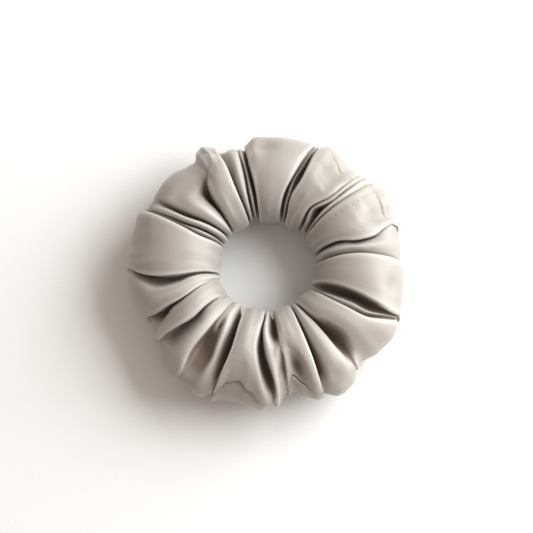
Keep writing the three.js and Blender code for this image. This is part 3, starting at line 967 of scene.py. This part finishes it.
closing_path = tube[EDGE_ROWS:-EDGE_ROWS, CLOSING_COLUMN]
closing_up = tube_normals[EDGE_ROWS:-EDGE_ROWS, CLOSING_COLUMN]
upper_path, lower_path = tube[NEEDLE_ROW], tube[BOBBIN_ROW]
along_ring = np.gradient(upper_path, axis=0)
away_up = unit(np.cross(inward(upper_path), along_ring))
if (away_up * (upper_path - lower_path)).sum(-1).mean() < 0:
    away_up = -away_up
under_layers = 2 * LAYER + CLOTH
print("layers under the closing seam, mm:", round(under_layers / MM, 2))

# %% The four threads
closing_under = closing_path - closing_up * under_layers
stitches = [
    stitch_line("closing_seam_needle_stitches", closing_path, closing_up, 0,
                "closing_seam_needle_thread"),
    stitch_line("closing_seam_bobbin_stitches", closing_under, -closing_up, 0,
                "closing_seam_bobbin_thread"),
    stitch_line("long_seam_needle_stitches", upper_path, away_up, CLOTH, "long_seam_needle_thread"),
    stitch_line("long_seam_bobbin_stitches", lower_path, -away_up, CLOTH, "long_seam_bobbin_thread"),
]

# %% [markdown]
# ## The thread's finish
#
# Polyester sewing thread is spun from three plies with a hard twist, and dyed a little darker than
# the satin. The plies could be modelled, but at a quarter of a millimetre a sine that runs slantwise
# round the tube, in the colour and the bump, shows the same. The two threads in the elastic's lap are
# the model's own pieces and get this finish too.

# %% Thread finish
TWIST = 0.5 * MM
PLIES = 1.5  # that show on a side
FUZZ = 9000
THREAD_DARK, THREAD_LIGHT = (0.34, 0.3, 0.26, 1), (0.52, 0.48, 0.44, 1)

thread_finish = Finish("thread", roughness=0.5, sheen_weight=0.2)
run, round_it, _ = thread_finish.split(thread_finish.uv("cloth"))
plies = ((run * (1 / TWIST) + round_it) * TURN * PLIES).sine() * 0.5 + 0.5
fuzz = thread_finish.noise(thread_finish.place(), FUZZ, 2)
thread_tone = (plies * 0.7 + fuzz * 0.5).smooth(0.1, 0.9)
thread_finish.drive("Base Color", thread_finish.mix(thread_tone, THREAD_DARK, THREAD_LIGHT))
thread_finish.bump(plies, 0.03 * MM)
for piece in stitches:
    piece.data.materials.append(thread_finish.material)
for node in ("elastic_join_needle_thread", "elastic_join_bobbin_thread"):
    piece = bpy.data.objects[node]
    for place in piece.material_slots:
        place.material = thread_finish.material
print("pieces in thread:", len(stitches) + 2)

# %% [markdown]
# ## The elastic
#
# The elastic is a braid of polyester round rubber cords, 6 mm wide, sewn into a ring with its ends
# lapped. It never shows from outside, but it is what gathers the cover. A flat band with a picture of
# ribs would do for that, but here the ribs are in the shape: one closed outline, ribbed by the cords,
# is carried round the ring, and steps outwards where the second end passes over the first.

# %% Sizes of the elastic
elastic_low, elastic_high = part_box("elastic_band")
ELASTIC_LEVEL = (elastic_low[2] + elastic_high[2]) / 2
ELASTIC_WIDTH = elastic_high[2] - elastic_low[2]
ELASTIC_THICKNESS = 1 * MM
LAP_RISE = 1.35 * MM
ELASTIC_RADIUS = -elastic_low[0] - ELASTIC_THICKNESS
ELASTIC_START, ELASTIC_LAP, RISE_TURN = np.radians([27, 36, 18])
print("elastic: inside radius", round(ELASTIC_RADIUS / MM, 2), "mm, level", round(ELASTIC_LEVEL / MM, 2))

# %% Check that the cover leaves room for it
ROOM = 0.5 * MM
ELASTIC_OUTSIDE = ELASTIC_RADIUS + ELASTIC_THICKNESS + LAP_RISE
from_axis = np.linalg.norm(strip[..., :2], axis=-1)
beside = (from_axis > ELASTIC_RADIUS - ROOM) & (from_axis < ELASTIC_OUTSIDE + ROOM)
level_with = np.abs(strip[..., 2] - ELASTIC_LEVEL) < ELASTIC_WIDTH / 2 + ROOM
print("points of the cover in the elastic's room:", int((beside & level_with).sum()))

# %% The elastic's outline
# RIB is how much thinner the band is between its cords than on them, and EDGE how much at its edges.
CORDS = 8
FACE_POINTS = 33
RIB = 0.28
EDGE = 0.65
across = np.linspace(-0.5, 0.5, FACE_POINTS)
rib = np.abs(np.sin(np.pi * CORDS * (across + 0.5))) ** 0.7
end_round = np.sqrt(np.clip(1 - (np.abs(across) * 2) ** 12, 0, 1))
half_thick = ELASTIC_THICKNESS / 2 * (1 - RIB + RIB * rib) * (1 - EDGE + EDGE * end_round)
print("cords:", CORDS, "each, mm:", round(ELASTIC_WIDTH / CORDS / MM, 2))

# %% Carry the outline round the ring
ELASTIC_RINGS = 440
CROSSINGS, CROSSING_RISE = 150, 0.07
ring_turn = np.linspace(0, TURN + ELASTIC_LAP, ELASTIC_RINGS)
share = np.clip((ring_turn - (TURN - RISE_TURN)) / RISE_TURN, 0, 1)
lap_rise = share * share * (3 - 2 * share) * LAP_RISE
cord = np.floor((across + 0.5) * CORDS)[None, :]
crossing = 1 + CROSSING_RISE * np.sin(CROSSINGS * ring_turn[:, None] + np.pi * cord)
outer = half_thick[None, :] * crossing
depth_in = np.concatenate([outer, -outer[:, ::-1]], axis=1)
level = ELASTIC_LEVEL + ELASTIC_WIDTH * np.concatenate([across, across[::-1]])
ring_radius = ELASTIC_RADIUS + ELASTIC_THICKNESS / 2 + lap_rise[:, None] + depth_in
where = (ring_turn + ELASTIC_START)[:, None]
rings = np.stack([ring_radius * np.cos(where), ring_radius * np.sin(where),
                  np.broadcast_to(level, ring_radius.shape)], axis=-1)
elastic = tube_object("elastic_braid", rings, ring_turn * ELASTIC_RADIUS)
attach(elastic, "root")
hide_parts("elastic_band")
print("elastic faces:", len(elastic.data.polygons))

# %% [markdown]
# ## The elastic's finish
#
# The braid's yarns are matt, off-white and a little fuzzy. They cross the cords on a slant, a yarn
# every 0.7 mm, so a slanting sine over the band's own map stands for them.

# %% Elastic finish
YARN = 0.7 * MM
ELASTIC_DARK, ELASTIC_LIGHT = (0.6, 0.57, 0.53, 1), (0.82, 0.8, 0.76, 1)

elastic_finish = Finish("elastic", roughness=0.75, sheen_weight=0.3)
run, round_it, _ = elastic_finish.split(elastic_finish.uv("cloth"))
yarns = ((run * (1 / YARN) + round_it * 2 * CORDS) * TURN).sine() * 0.5 + 0.5
grey = elastic_finish.noise(elastic_finish.place(), 2500, 3)
elastic_tone = (yarns * 0.7 + grey * 0.6).smooth(0.1, 1.1)
elastic_finish.drive("Base Color", elastic_finish.mix(elastic_tone, ELASTIC_DARK, ELASTIC_LIGHT))
elastic_finish.bump(yarns, 0.1 * MM)
elastic.data.materials.append(elastic_finish.material)
print("yarns round the ring:", round(TURN * ELASTIC_RADIUS / YARN))
